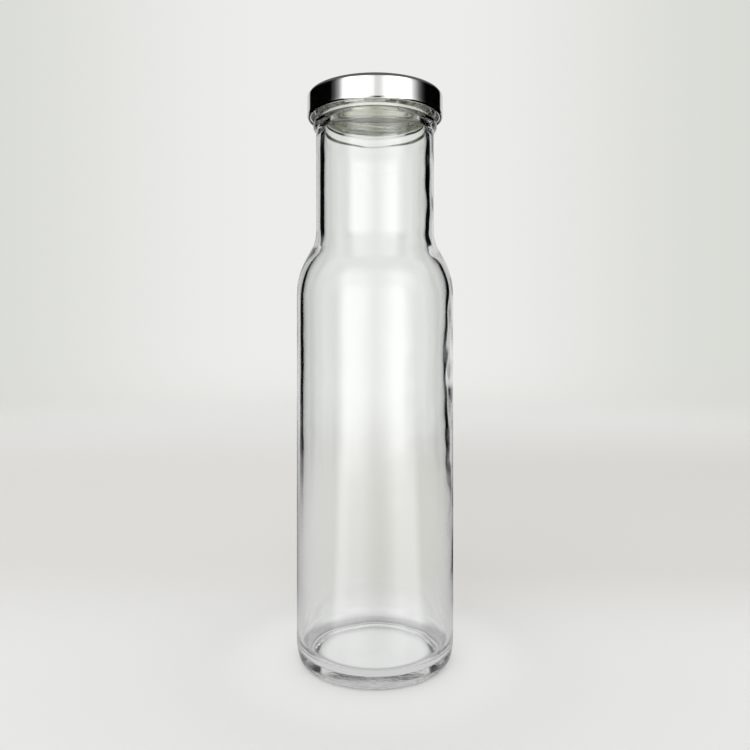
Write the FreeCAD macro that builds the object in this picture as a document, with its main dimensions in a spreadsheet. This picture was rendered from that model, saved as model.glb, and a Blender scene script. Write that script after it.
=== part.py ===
import FreeCAD, Part
import Sketcher
import math
import os

# A clear glass sauce bottle with a four-lug tinplate twist-off cap, closed.
# The bottle stands on its bearing ring at z = 0 and its axis is the Z axis. Millimetres and degrees.

os.makedirs("parts", exist_ok=True)
doc = FreeCAD.newDocument("lug_capped_bottle")

# ---------------------------------------------------------------- driving sizes
# A drop is a height counted down from the lip, and an inset a radius counted in from the body's face.

SIZES = [
    # the blown glass below the finish
    ("bottle_height", 192.2, "bearing ring to sealing lip"),
    ("body_diameter", 53.85, "outside of the body"),
    ("neck_diameter", 40.75, "outside of the neck, which the finish and the cap follow"),
    ("body_wall", 2.1, "glass of the body"),
    ("neck_wall", 2.6, "glass of the neck"),
    ("shoulder_foot", 130.9, "where body and shoulder cone would meet"),
    ("shoulder_head", 142.9, "where shoulder cone and neck would meet"),
    ("shoulder_round", 24.5, "round of the shoulder"),
    ("neck_round", 12.0, "hollow round under the neck"),
    ("heel_height", 4.6, "where body and heel cone would meet"),
    ("heel_inset", 1.35, "where heel cone and floor would meet"),
    ("heel_round", 20.0, "round between body and heel cone"),
    ("base_round", 2.5, "round between heel cone and bearing ring"),
    ("bearing_inset", 5.1, "inner edge of the bearing ring"),
    ("bearing_round", 1.0, "round of that edge"),
    ("push_up_inset", 8.4, "outer edge of the push-up"),
    ("push_up_edge", 1.1, "height of the push-up at its edge"),
    ("push_up_centre", 1.7, "height of the push-up at the axis"),
    ("push_up_round", 4.0, "hollow round at the edge of the push-up"),
    ("floor_edge", 3.2, "height of the inner floor where the wall would meet it"),
    ("floor_centre", 3.9, "height of the inner floor at the axis"),
    ("floor_round", 5.5, "hollow round between inner floor and wall"),
    # the finish
    ("land_step", 0.45, "how far the finish wall stands inside the neck's face"),
    ("lip_wall", 2.4, "glass of the finish"),
    ("lip_round", 0.75, "round of both edges of the lip"),
    ("bore_drop", 10.5, "lower end of the straight bore"),
    ("bore_flare", 3.0, "height over which the bore opens out to the neck"),
    ("flare_round", 6.0, "rounds of that flare"),
    ("bead_depth", 1.4, "how far the transfer bead stands out of the finish wall"),
    ("bead_gap", 0.35, "height between the cap's curl and the top of the bead"),
    ("bead_upper_slope", 1.2, "height from the top of the bead to its face"),
    ("bead_face", 1.7, "height of the bead's face"),
    ("bead_lower_slope", 1.6, "height from the bead's face to the neck"),
    ("bead_round", 1.5, "rounds of the bead's face"),
    ("bead_top_round", 0.4, "hollow round above the bead"),
    ("bead_foot_round", 3.0, "hollow round below the bead"),
    # the glass ramps that the cap's lugs run under
    ("lug_count", 4, "ramps on the glass, and lugs on the cap"),
    ("ramp_drop", 4.2, "middle of a ramp"),
    ("ramp_depth", 1.05, "how far a ramp stands out at its middle"),
    ("ramp_root_height", 2.5, "height of a ramp at its root"),
    ("ramp_crest_height", 1.2, "height of a ramp at its crest"),
    ("ramp_crest_round", 0.35, "rounds of the crest"),
    ("ramp_sink", 0.6, "how far a ramp's root lies inside the glass"),
    ("ramp_offset", 3.0, "set of a ramp's own axis towards it, so that its ends run out"),
    ("ramp_tilt", 4.0, "lean of a ramp's own axis, which makes it climb"),
    ("ramp_sweep", 116.0, "turn of a ramp about its own axis"),
    # the cap
    ("cap_plate", 0.25, "tinplate"),
    ("skirt_gap", 2.175, "air between the ramps' crest and the skirt"),
    ("cap_corner_round", 1.4, "round between top and skirt"),
    ("panel_recess", 0.5, "how far the centre panel lies below the rim"),
    ("panel_slope", 1.0, "width of the step up from the panel to the rim"),
    ("panel_round", 0.8, "rounds of that step"),
    ("curl_width", 1.5, "width of the curl that the raw edge is rolled into"),
    ("curl_height", 1.1, "height of the rolled-up raw edge"),
    ("curl_round", 0.7, "rounds of the curl"),
    ("lug_turn", 18.0, "angle from the middle of a ramp down to the lug under it"),
    ("lug_sweep", 18.0, "angle that a lug spans"),
    ("lug_height", 1.05, "height of a lug"),
    ("lug_lift", 0.15, "how far a lug's underside lies above the curl's"),
    ("lug_round", 0.35, "rounds of a lug's tip"),
    ("lug_tip_gap", 0.27, "air between a lug's tip and the finish wall"),
    ("lug_clearance", 0.1, "air between a lug and the ramp above it"),
    # the sealing ring
    ("liner_seat", 0.95, "thickness of the ring on the lip"),
    ("liner_overhang", 0.5, "how far the ring reaches inside the bore"),
    ("liner_step_gap", 0.4, "air between the ring and the panel's step"),
    ("liner_skirt_gap", 0.3, "air between the ring and the skirt"),
    ("liner_lap", 0.6, "how far the ring hangs down beside the lip"),
    ("liner_lap_gap", 0.35, "air between that lap and the finish wall"),
    ("liner_round", 0.25, "rounds of the ring"),
]

sheet = doc.addObject("Spreadsheet::Sheet", "sizes")
for row, (alias, size, note) in enumerate(SIZES, start=1):
    sheet.set(f"A{row}", note)
    sheet.set(f"B{row}", str(size))
    sheet.setAlias(f"B{row}", alias)
doc.recompute()

# ---------------------------------------------------------------- shared radii and heights

BODY = "sizes.body_diameter / 2"
BODY_INSIDE = f"({BODY} - sizes.body_wall)"
NECK = "sizes.neck_diameter / 2"
NECK_INSIDE = f"({NECK} - sizes.neck_wall)"
LAND = f"({NECK} - sizes.land_step)"
BORE = f"({LAND} - sizes.lip_wall)"
BEAD = f"({LAND} + sizes.bead_depth)"
RAMP_CREST = f"({LAND} + sizes.ramp_depth)"
LIP = "sizes.bottle_height"
RAMP_MIDDLE = f"({LIP} - sizes.ramp_drop)"
# half the angle between the shoulder cone and the axis, which sets the inner corners of an even wall
SHOULDER_HALF = f"tan(atan(({BODY} - {NECK}) / (sizes.shoulder_head - sizes.shoulder_foot)) / 2)"

CAP = f"({RAMP_CREST} + sizes.skirt_gap + sizes.cap_plate)"
CAP_TOP = f"({LIP} + sizes.liner_seat + sizes.cap_plate)"
PANEL = f"({CAP_TOP} - sizes.panel_recess)"
# A lug lies under its ramp. It comes nearest at its tip and at its end away from the ramp's middle.
RAMP_SLOPE = "(sizes.ramp_root_height - sizes.ramp_crest_height) / 2 / (sizes.ramp_sink + sizes.ramp_depth)"
RAMP_UNDER = f"sizes.ramp_root_height / 2 - (sizes.ramp_sink + sizes.lug_tip_gap) * {RAMP_SLOPE}"
RAMP_FALL = f"{LAND} * sin(sizes.lug_turn + sizes.lug_sweep / 2) * tan(sizes.ramp_tilt)"
LUG_TOP = f"({RAMP_MIDDLE} - ({RAMP_UNDER}) - {RAMP_FALL} - sizes.lug_clearance)"
LUG_FOOT = f"({LUG_TOP} - sizes.lug_height)"
CAP_FOOT = f"({LUG_FOOT} - sizes.lug_lift)"
BEAD_TOP = f"({CAP_FOOT} - sizes.bead_gap)"
BEAD_UPPER = f"({BEAD_TOP} - sizes.bead_upper_slope)"
BEAD_LOWER = f"({BEAD_UPPER} - sizes.bead_face)"
BEAD_FOOT = f"({BEAD_LOWER} - sizes.bead_lower_slope)"
LINER_INSIDE = f"({BORE} - sizes.liner_overhang)"
RIM_INSIDE = f"({LINER_INSIDE} - sizes.liner_step_gap)"

# ---------------------------------------------------------------- tools


def origin_feature(body, role):
    """A plane or axis of the body's own origin."""
    return next(feature for feature in body.Origin.OriginFeatures if feature.Role == role)


def new_body(label):
    body = doc.addObject("PartDesign::Body", label)
    body.Label = label
    return body


def sketch_beside_axis(body, name):
    """An empty sketch on the body's XZ plane, so that its X is a radius and its Y a height."""
    sketch = body.newObject("Sketcher::SketchObject", name)
    sketch.AttachmentSupport = (origin_feature(body, "XZ_Plane"), [""])
    sketch.MapMode = "FlatFace"
    return sketch


def place(sketch, geometry, point, name, radius, height):
    """Ties a point to its radius and height, or to the sketch's own axis where one of them is 0."""
    ties = [(-2, "DistanceX", "radius", radius), (-1, "DistanceY", "height", height)]
    for axis, kind, suffix, text in ties:
        if text == "0":
            sketch.addConstraint(Sketcher.Constraint("PointOnObject", geometry, point, axis))
            continue
        size = float(sketch.evalExpression(text))
        index = sketch.addConstraint(Sketcher.Constraint(kind, -1, 1, geometry, point, size))
        sketch.renameConstraint(index, f"{name}_{suffix}")
        sketch.setExpression(f"Constraints.{name}_{suffix}", text)


def round_corner(sketch, corner, before, after, name, round_text):
    """A tangent arc across the corner of two runs, and the corner itself as a construction point."""
    size = float(sketch.evalExpression(round_text))
    start = sketch.Geometry[before].EndPoint
    end = sketch.Geometry[after].StartPoint
    turns_left = (corner - start).cross(end - corner).z > 0
    middle = (start + end) / 2 - corner
    centre = corner + middle.normalize() * math.hypot(size, (start - corner).Length)
    first, last = (start, end) if turns_left else (end, start)
    angles = [math.atan2(point.y - centre.y, point.x - centre.x) for point in (first, last)]
    circle = Part.Circle(centre, FreeCAD.Vector(0, 0, 1), size)
    arc = sketch.addGeometry(Part.ArcOfCircle(circle, *angles))
    apex = sketch.addGeometry(Part.Point(corner), True)
    arc_first, arc_last = (1, 2) if turns_left else (2, 1)
    sketch.addConstraint([
        Sketcher.Constraint("Tangent", before, 2, arc, arc_first),
        Sketcher.Constraint("Tangent", arc, arc_last, after, 1),
        Sketcher.Constraint("PointOnObject", apex, 1, before),
        Sketcher.Constraint("PointOnObject", apex, 1, after),
    ])
    index = sketch.addConstraint(Sketcher.Constraint("Radius", arc, size))
    sketch.renameConstraint(index, f"{name}_round")
    sketch.setExpression(f"Constraints.{name}_round", round_text)
    return apex


def outline(sketch, corners):
    """A closed outline of straight runs. A corner is its name, radius, height, and round or None."""
    spots = []
    for name, radius, height, round_text in corners:
        spots.append(FreeCAD.Vector(*(float(sketch.evalExpression(text)) for text in (radius, height))))
    leaves = []
    for i, (spot, corner) in enumerate(zip(spots, corners)):
        size = float(sketch.evalExpression(corner[3])) if corner[3] else 0.0
        back = (spots[i - 1] - spot).normalize()
        ahead = (spots[(i + 1) % len(spots)] - spot).normalize()
        reach = size / math.tan(back.getAngle(ahead) / 2)
        leaves.append((spot + back * reach, spot + ahead * reach))
    runs = []
    for i in range(len(corners)):
        run = Part.LineSegment(leaves[i][1], leaves[(i + 1) % len(corners)][0])
        runs.append(sketch.addGeometry(run))
    for i, (name, radius, height, round_text) in enumerate(corners):
        before, after = runs[i - 1], runs[i]
        if round_text:
            apex = round_corner(sketch, spots[i], before, after, name, round_text)
            place(sketch, apex, 1, name, radius, height)
        else:
            sketch.addConstraint(Sketcher.Constraint("Coincident", before, 2, after, 1))
            place(sketch, after, 1, name, radius, height)


def turn(body, kind, name, sketch, sweep=None):
    """Turns a sketch about its own vertical axis, all the way round or half of the sweep to each side."""
    feature = body.newObject(f"PartDesign::{kind}", name)
    feature.Profile = sketch
    feature.ReferenceAxis = (sketch, ["V_Axis"])
    if sweep:
        feature.Midplane = True
        feature.setExpression("Angle", sweep)
    doc.recompute()
    return feature


def repeat_round(body, name, feature):
    """One copy of the feature for each lug, evenly round the Z axis."""
    pattern = body.newObject("PartDesign::PolarPattern", name)
    pattern.Originals = [feature]
    pattern.Axis = (origin_feature(body, "Z_Axis"), [""])
    pattern.Angle = 360
    pattern.setExpression("Occurrences", "sizes.lug_count")
    body.Tip = pattern
    doc.recompute()


def lip_edges(feature):
    """The names of the two circles at the height of the lip."""
    height = float(sheet.bottle_height)
    names = []
    for i, edge in enumerate(feature.Shape.Edges, start=1):
        box = edge.BoundBox
        if abs(box.ZMin - height) < 1e-4 and abs(box.ZMax - height) < 1e-4:
            names.append(f"Edge{i}")
    return names


# ---------------------------------------------------------------- bottle

bottle = new_body("bottle")

outside = sketch_beside_axis(bottle, "outside")
outline(outside, [
    ("base_centre", "0", "sizes.push_up_centre", None),
    ("push_up_edge", f"{BODY} - sizes.push_up_inset", "sizes.push_up_edge", "sizes.push_up_round"),
    ("bearing_inside", f"{BODY} - sizes.bearing_inset", "0", "sizes.bearing_round"),
    ("bearing_outside", f"{BODY} - sizes.heel_inset", "0", "sizes.base_round"),
    ("heel", BODY, "sizes.heel_height", "sizes.heel_round"),
    ("shoulder_foot", BODY, "sizes.shoulder_foot", "sizes.shoulder_round"),
    ("shoulder_head", NECK, "sizes.shoulder_head", "sizes.neck_round"),
    ("bead_foot", NECK, BEAD_FOOT, "sizes.bead_foot_round"),
    ("bead_lower", BEAD, BEAD_LOWER, "sizes.bead_round"),
    ("bead_upper", BEAD, BEAD_UPPER, "sizes.bead_round"),
    ("bead_top", LAND, BEAD_TOP, "sizes.bead_top_round"),
    ("lip_outside", LAND, LIP, None),
    ("lip_centre", "0", LIP, None),
])
blank = turn(bottle, "Revolution", "blank", outside)

inside = sketch_beside_axis(bottle, "inside")
outline(inside, [
    ("floor_centre", "0", "sizes.floor_centre", None),
    ("floor_edge", BODY_INSIDE, "sizes.floor_edge", "sizes.floor_round"),
    (
        "shoulder_foot_inside",
        BODY_INSIDE,
        f"sizes.shoulder_foot - sizes.body_wall * {SHOULDER_HALF}",
        "sizes.shoulder_round - sizes.body_wall",
    ),
    (
        "shoulder_head_inside",
        NECK_INSIDE,
        f"sizes.shoulder_head - sizes.neck_wall * {SHOULDER_HALF}",
        "sizes.neck_round + sizes.neck_wall",
    ),
    ("flare_foot", NECK_INSIDE, f"{LIP} - sizes.bore_drop - sizes.bore_flare", "sizes.flare_round"),
    ("bore_foot", BORE, f"{LIP} - sizes.bore_drop", "sizes.flare_round"),
    ("mouth_edge", BORE, LIP, None),
    ("mouth_centre", "0", LIP, None),
])
cavity = turn(bottle, "Groove", "cavity", inside)

lip = bottle.newObject("PartDesign::Fillet", "lip")
lip.Base = (cavity, lip_edges(cavity))
lip.setExpression("Radius", "sizes.lip_round")
doc.recompute()

# A ramp is turned about an axis of its own, set off towards it and leaning, so it climbs and both its
# ends run out into the finish wall. Its sketch's origin is the middle of that axis.
ramp_section = sketch_beside_axis(bottle, "ramp_section")
ramp_section.AttachmentOffset = FreeCAD.Placement(
    FreeCAD.Vector(0, 0, 0),
    FreeCAD.Rotation(FreeCAD.Vector(1, 0, 0), 1),
)
ramp_section.setExpression("AttachmentOffset.Base.x", "sizes.ramp_offset")
ramp_section.setExpression("AttachmentOffset.Base.y", RAMP_MIDDLE)
ramp_section.setExpression("AttachmentOffset.Rotation.Angle", "sizes.ramp_tilt")
RAMP_ROOT = f"{LAND} - sizes.ramp_sink - sizes.ramp_offset"
RAMP_FACE = f"{RAMP_CREST} - sizes.ramp_offset"
outline(ramp_section, [
    ("root_foot", RAMP_ROOT, "-sizes.ramp_root_height / 2", None),
    ("crest_foot", RAMP_FACE, "-sizes.ramp_crest_height / 2", "sizes.ramp_crest_round"),
    ("crest_head", RAMP_FACE, "sizes.ramp_crest_height / 2", "sizes.ramp_crest_round"),
    ("root_head", RAMP_ROOT, "sizes.ramp_root_height / 2", None),
])
ramp = turn(bottle, "Revolution", "ramp", ramp_section, "sizes.ramp_sweep")
repeat_round(bottle, "ramps", ramp)

# ---------------------------------------------------------------- cap

cap = new_body("cap")

PANEL_EDGE = f"{RIM_INSIDE} - sizes.panel_slope"
CURL_INSIDE = f"{CAP} - sizes.curl_width"
shell_section = sketch_beside_axis(cap, "shell_section")
outline(shell_section, [
    ("panel_centre", "0", PANEL, None),
    ("panel_edge", PANEL_EDGE, PANEL, "sizes.panel_round"),
    ("rim_inside", RIM_INSIDE, CAP_TOP, "sizes.panel_round"),
    ("rim_outside", CAP, CAP_TOP, "sizes.cap_corner_round"),
    ("curl_outside", CAP, CAP_FOOT, "sizes.curl_round"),
    ("curl_inside", CURL_INSIDE, CAP_FOOT, "sizes.curl_round"),
    ("raw_edge", CURL_INSIDE, f"{CAP_FOOT} + sizes.curl_height", None),
    ("raw_edge_back", f"{CURL_INSIDE} + sizes.cap_plate", f"{CAP_FOOT} + sizes.curl_height", None),
    (
        "curl_inside_back",
        f"{CURL_INSIDE} + sizes.cap_plate",
        f"{CAP_FOOT} + sizes.cap_plate",
        "sizes.curl_round - sizes.cap_plate",
    ),
    (
        "curl_outside_back",
        f"{CAP} - sizes.cap_plate",
        f"{CAP_FOOT} + sizes.cap_plate",
        "sizes.curl_round - sizes.cap_plate",
    ),
    (
        "rim_outside_back",
        f"{CAP} - sizes.cap_plate",
        f"{CAP_TOP} - sizes.cap_plate",
        "sizes.cap_corner_round - sizes.cap_plate",
    ),
    ("rim_inside_back", RIM_INSIDE, f"{CAP_TOP} - sizes.cap_plate", "sizes.panel_round"),
    ("panel_edge_back", PANEL_EDGE, f"{PANEL} - sizes.cap_plate", "sizes.panel_round"),
    ("panel_centre_back", "0", f"{PANEL} - sizes.cap_plate", None),
])
turn(cap, "Revolution", "shell", shell_section)

# A lug is the curl pressed in flat, so that it hooks under its glass ramp.
lug_section = sketch_beside_axis(cap, "lug_section")
lug_section.AttachmentOffset = FreeCAD.Placement(
    FreeCAD.Vector(0, 0, 0),
    FreeCAD.Rotation(FreeCAD.Vector(0, 1, 0), 1),
)
lug_section.setExpression("AttachmentOffset.Rotation.Angle", "-sizes.lug_turn")
LUG_ROOT = f"{CAP} - sizes.curl_width / 2"
LUG_TIP = f"{LAND} + sizes.lug_tip_gap"
outline(lug_section, [
    ("tip_foot", LUG_TIP, LUG_FOOT, "sizes.lug_round"),
    ("root_foot", LUG_ROOT, LUG_FOOT, None),
    ("root_head", LUG_ROOT, LUG_TOP, None),
    ("tip_head", LUG_TIP, LUG_TOP, "sizes.lug_round"),
])
lug = turn(cap, "Revolution", "lug", lug_section, "sizes.lug_sweep")
repeat_round(cap, "lugs", lug)

# ---------------------------------------------------------------- sealing ring

cap_liner = new_body("cap_liner")

LINER_OUTSIDE = f"{CAP} - sizes.cap_plate - sizes.liner_skirt_gap"
LINER_TOP = f"{CAP_TOP} - sizes.cap_plate"
ring_section = sketch_beside_axis(cap_liner, "ring_section")
outline(ring_section, [
    ("inside_foot", LINER_INSIDE, LIP, "sizes.liner_round"),
    ("lap_root", f"{LAND} + sizes.liner_lap_gap", LIP, "sizes.liner_round"),
    ("lap_foot", f"{LAND} + sizes.liner_lap_gap", f"{LIP} - sizes.liner_lap", "sizes.liner_round"),
    ("outside_foot", LINER_OUTSIDE, f"{LIP} - sizes.liner_lap", "sizes.liner_round"),
    ("outside_head", LINER_OUTSIDE, LINER_TOP, "sizes.cap_corner_round - sizes.cap_plate"),
    ("inside_head", LINER_INSIDE, LINER_TOP, "sizes.liner_round"),
])
turn(cap_liner, "Revolution", "ring", ring_section)

# ---------------------------------------------------------------- checks and export

doc.recompute()
for item in doc.Objects:
    if {"Invalid", "Error"} & set(item.State):
        raise RuntimeError(f"{item.Name} failed: {item.State}")
    if item.TypeId == "Sketcher::SketchObject" and not item.FullyConstrained:
        raise RuntimeError(f"{item.Name} is not fully constrained")

pieces = [bottle, cap, cap_liner]
for piece in pieces:
    shape = piece.Shape
    if shape.isNull() or not shape.isValid() or len(shape.Solids) != 1:
        raise RuntimeError(f"{piece.Label} is not one valid solid")

for piece in pieces:
    piece.Shape.exportStep(f"parts/{piece.Label}.step")
    box = piece.Shape.BoundBox
    print(f"{piece.Label}: {piece.Shape.Volume / 1000:.2f} cm3, z {box.ZMin:.2f} to {box.ZMax:.2f}")
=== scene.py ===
import math

import bpy
from bpy.props import FloatProperty, FloatVectorProperty, IntProperty, PointerProperty
from bpy.types import Operator, Panel, PropertyGroup
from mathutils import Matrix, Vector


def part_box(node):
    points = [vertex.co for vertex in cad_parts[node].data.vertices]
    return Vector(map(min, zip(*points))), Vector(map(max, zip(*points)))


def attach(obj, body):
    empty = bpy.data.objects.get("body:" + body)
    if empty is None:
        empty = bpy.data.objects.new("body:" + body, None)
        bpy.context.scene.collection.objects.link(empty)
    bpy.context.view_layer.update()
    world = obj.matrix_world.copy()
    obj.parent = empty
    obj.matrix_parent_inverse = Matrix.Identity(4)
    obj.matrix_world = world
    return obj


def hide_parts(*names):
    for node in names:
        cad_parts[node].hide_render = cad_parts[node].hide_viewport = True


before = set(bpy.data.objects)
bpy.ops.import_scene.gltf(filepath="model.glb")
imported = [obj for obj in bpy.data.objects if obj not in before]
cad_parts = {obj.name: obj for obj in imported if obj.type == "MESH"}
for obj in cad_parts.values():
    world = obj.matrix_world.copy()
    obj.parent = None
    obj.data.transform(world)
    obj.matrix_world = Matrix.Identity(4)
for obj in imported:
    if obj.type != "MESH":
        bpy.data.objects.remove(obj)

bl_info = {
    "name": "Lug-capped glass bottle",
    "version": (1, 0, 0),
    "blender": (4, 5, 0),
    "location": "View3D > Sidebar > Bottle",
    "description": "A blown glass bottle with a tinplate twist-off cap and its sealing ring",
    "category": "Add Mesh",
}

MM = 0.001
BOTTLE_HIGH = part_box("bottle")[1]
CAP_LOW, CAP_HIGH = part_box("cap")
RING_LOW, RING_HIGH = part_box("cap_liner")
RAIL_RADIUS = 10.0 * MM


# ---------------------------------------------------------------- sizes and colours


def length(name, description, size):
    """A length property, in metres."""
    return FloatProperty(
        name=name, description=description, default=size, subtype="DISTANCE", unit="LENGTH", precision=5
    )


def angle(name, description, degrees):
    """An angle property, in radians."""
    return FloatProperty(
        name=name, description=description, default=math.radians(degrees), subtype="ANGLE", unit="ROTATION"
    )


def colour(name, description, rgb):
    """A colour property."""
    return FloatVectorProperty(
        name=name, description=description, default=rgb, subtype="COLOR", size=3, min=0.0, max=1.0
    )


def share(name, description, value):
    """A plain number from 0 up."""
    return FloatProperty(name=name, description=description, default=value, min=0.0)


class GlassSizes(PropertyGroup):
    height: length("Height", "Bearing ring to sealing lip", BOTTLE_HIGH.z)
    body_radius: length("Body radius", "Outside of the body", min(BOTTLE_HIGH.x, BOTTLE_HIGH.y))
    neck_radius: length("Neck radius", "Outside of the neck", 20.375 * MM)
    body_wall: length("Body wall", "Glass of the body", 2.1 * MM)
    neck_wall: length("Neck wall", "Glass of the neck", 2.8 * MM)
    shoulder_foot: length("Shoulder foot", "Height where body and shoulder cone would meet", 130.9 * MM)
    shoulder_head: length("Shoulder head", "Height where shoulder cone and neck would meet", 142.9 * MM)
    shoulder_round: length("Shoulder round", "Outer round of the shoulder", 24.5 * MM)
    neck_round: length("Neck round", "Hollow round under the neck", 12.0 * MM)
    heel_height: length("Heel height", "Height where body and heel cone would meet", 4.6 * MM)
    heel_inset: length("Heel inset", "Outer edge of the bearing ring, from the body's face", 1.35 * MM)
    bearing_width: length("Bearing width", "Width of the ring that the bottle stands on", 3.75 * MM)
    push_up_slope: length("Push-up slope", "Width of the slope inside that ring", 3.3 * MM)
    push_up_edge: length("Push-up edge", "Height of that slope", 1.1 * MM)
    push_up: length("Push-up", "Height of the push-up at the axis", 1.7 * MM)
    floor_edge: length("Floor edge", "Height of the inner floor at the wall", 3.2 * MM)
    floor_centre: length("Floor centre", "Height of the inner floor at the axis", 3.9 * MM)
    land_step: length("Land step", "Finish wall inside the neck's face", 0.45 * MM)
    lip_wall: length("Lip wall", "Glass of the finish", 2.4 * MM)
    bead_depth: length("Bead depth", "How far the bead stands out of the finish wall", 1.4 * MM)
    bead_top: length("Bead top", "Drop from the lip to the top of the bead", 7.4 * MM)
    bead_flank: length("Bead flank", "Height of the bead's upper flank", 1.2 * MM)
    bead_face: length("Bead face", "Height of the bead's face", 1.7 * MM)
    bead_root: length("Bead root", "Height of the bead's lower flank", 1.6 * MM)
    bore_depth: length("Bore depth", "Length of the finish's straight bore", 10.5 * MM)
    bore_taper: length("Bore taper", "Length of the taper from the bore to the inside of the neck", 3.0 * MM)
    blown_top: length("Blown top", "Drop from the lip to where the inner face turns uneven", 16.0 * MM)
    right_extra: length("Right extra", "How much thicker the body's wall is on its right", 0.2 * MM)
    unevenness: length("Unevenness", "How far the inner face swells and thins", 0.22 * MM)
    wave_size: length("Wave size", "Width of those swells", 26.0 * MM)
    ripple: length("Ripple", "How far the small ripples on the inner face reach", 0.06 * MM)
    ripple_size: length("Ripple size", "Width of those ripples", 7.0 * MM)
    segments: IntProperty(name="Segments", description="Facets round the bottle", default=284, min=12)
    seed: IntProperty(name="Seed", description="Choice of the swells and ripples", default=3)


class RampSizes(PropertyGroup):
    count: IntProperty(name="Ramps", description="Ramps on the glass, and lugs on the cap", default=4, min=1)
    drop: length("Drop", "Middle of a ramp below the lip", 4.2 * MM)
    depth: length("Depth", "How far a ramp stands out at its middle", 1.05 * MM)
    half_height: length("Half height", "Half the height of a ramp at the finish wall", 1.01 * MM)
    slope: share("Slope", "How far a ramp's flanks stand out for their height", 2.5)
    offset: length("Offset", "Set of a ramp's own axis towards it, so that its ends run out", 3.0 * MM)
    tilt: angle("Tilt", "Climb of a ramp", 4.0)


class CapSizes(PropertyGroup):
    radius: length("Radius", "Outside of the skirt", min(CAP_HIGH.x, CAP_HIGH.y))
    top: length("Top", "Height of the rim", CAP_HIGH.z)
    foot: length("Foot", "Height of the curl's underside", CAP_LOW.z)
    plate: length("Plate", "Thickness of the tinplate", 0.25 * MM)
    corner_round: length("Corner round", "Round between top and skirt", 1.4 * MM)
    rim_radius: length("Rim radius", "Where the step down to the panel begins", 16.625 * MM)
    panel_recess: length("Panel recess", "Depth of the centre panel", 0.5 * MM)
    panel_slope: length("Panel slope", "Width of the step", 1.0 * MM)
    panel_round: length("Panel round", "Rounds of the step", 0.8 * MM)
    curl_width: length("Curl width", "Width of the rolled edge", 1.5 * MM)
    curl_height: length("Curl height", "Height of the rolled-up raw edge", 1.1 * MM)
    curl_round: length("Curl round", "Rounds of the curl", 0.7 * MM)
    lug_turn: angle("Lug turn", "From the middle of a ramp down to the lug under it", 18.0)
    lug_sweep: angle("Lug sweep", "Angle that a lug spans", 18.0)
    lug_height: length("Lug height", "Height of a lug", 1.05 * MM)
    lug_lift: length("Lug lift", "A lug's underside above the curl's", 0.15 * MM)
    lug_tip: length("Lug tip", "Radius of the lugs' tips", 20.195 * MM)
    lug_round: length("Lug round", "Rounds of a lug's tip", 0.35 * MM)
    segments: IntProperty(name="Segments", description="Facets round the cap", default=256, min=12)


class RingSizes(PropertyGroup):
    inside: length("Inside", "Inner radius of the ring", 17.025 * MM)
    outside: length("Outside", "Outer radius of the ring", min(RING_HIGH.x, RING_HIGH.y))
    lap_inside: length("Lap inside", "Inner radius of the lap beside the lip", 20.275 * MM)
    top: length("Top", "Height of the ring's top", RING_HIGH.z)
    seat: length("Seat", "Height of the lip that the ring seals", BOTTLE_HIGH.z)
    foot: length("Foot", "Height of the lap's underside", RING_LOW.z)
    soft_round: length("Round", "Rounds of the ring", 0.25 * MM)
    outer_round: length("Outer round", "Round that follows the cap's corner", 1.15 * MM)


class Finishes(PropertyGroup):
    glass: colour("Glass", "Tint of the flint glass", (0.985, 0.992, 0.985))
    glass_index: share("Glass index", "Refraction of the glass", 1.52)
    tin: colour("Tin", "Bare side of the tinplate", (0.83, 0.83, 0.82))
    lacquer: colour("Lacquer", "Food lacquer inside the cap", (0.62, 0.63, 0.54))
    compound: colour("Compound", "Sealing compound", (0.80, 0.79, 0.73))


class StudioSettings(PropertyGroup):
    floor: colour("Floor", "Floor paint", (0.80, 0.80, 0.79))
    backdrop: colour("Backdrop", "Pale backdrop straight behind the bottle", (0.845, 0.85, 0.83))
    corners: colour("Corners", "Backdrop out at its sides", (0.70, 0.71, 0.67))
    seen_corners: colour("Seen corners", "Those sides as seen through the glass", (0.85, 0.86, 0.835))
    # Painted shade: the floor's colour in its darker band behind the bottle.
    shade: colour("Shade", "Floor where it lies in the bottle's soft shade", (0.70, 0.685, 0.655))
    floor_radius: length("Floor radius", "Where the floor has faded out", 1.3)
    level: share("Level", "Even light from all round", 1.0)
    window: share("Window", "Brightness of the two tall windows in front", 2.65)
    # Painted light: the glow painted on the floor round the bottle's foot.
    painted_pool_of_light: share("Gathered light", "Light that the glass gathers on the floor round its foot", 0.12)
    lamp_power: FloatProperty(name="Lamp power", description="Power of the lamp", default=1.4, unit="POWER")
    lamp_size: length("Lamp size", "Width and depth of the lamp", 0.9)
    camera_distance: length("Camera distance", "From the lens to the bottle's axis", 242.8 * MM)
    camera_height: length("Camera height", "Height of the lens", 109.6 * MM)
    lens: FloatProperty(name="Lens", description="Focal length, 36 mm sensor", default=33.6, unit="CAMERA")
    shift: FloatProperty(name="Shift", description="Rise of the view as a share of its width", default=-0.049)


# ---------------------------------------------------------------- node graphs


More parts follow.
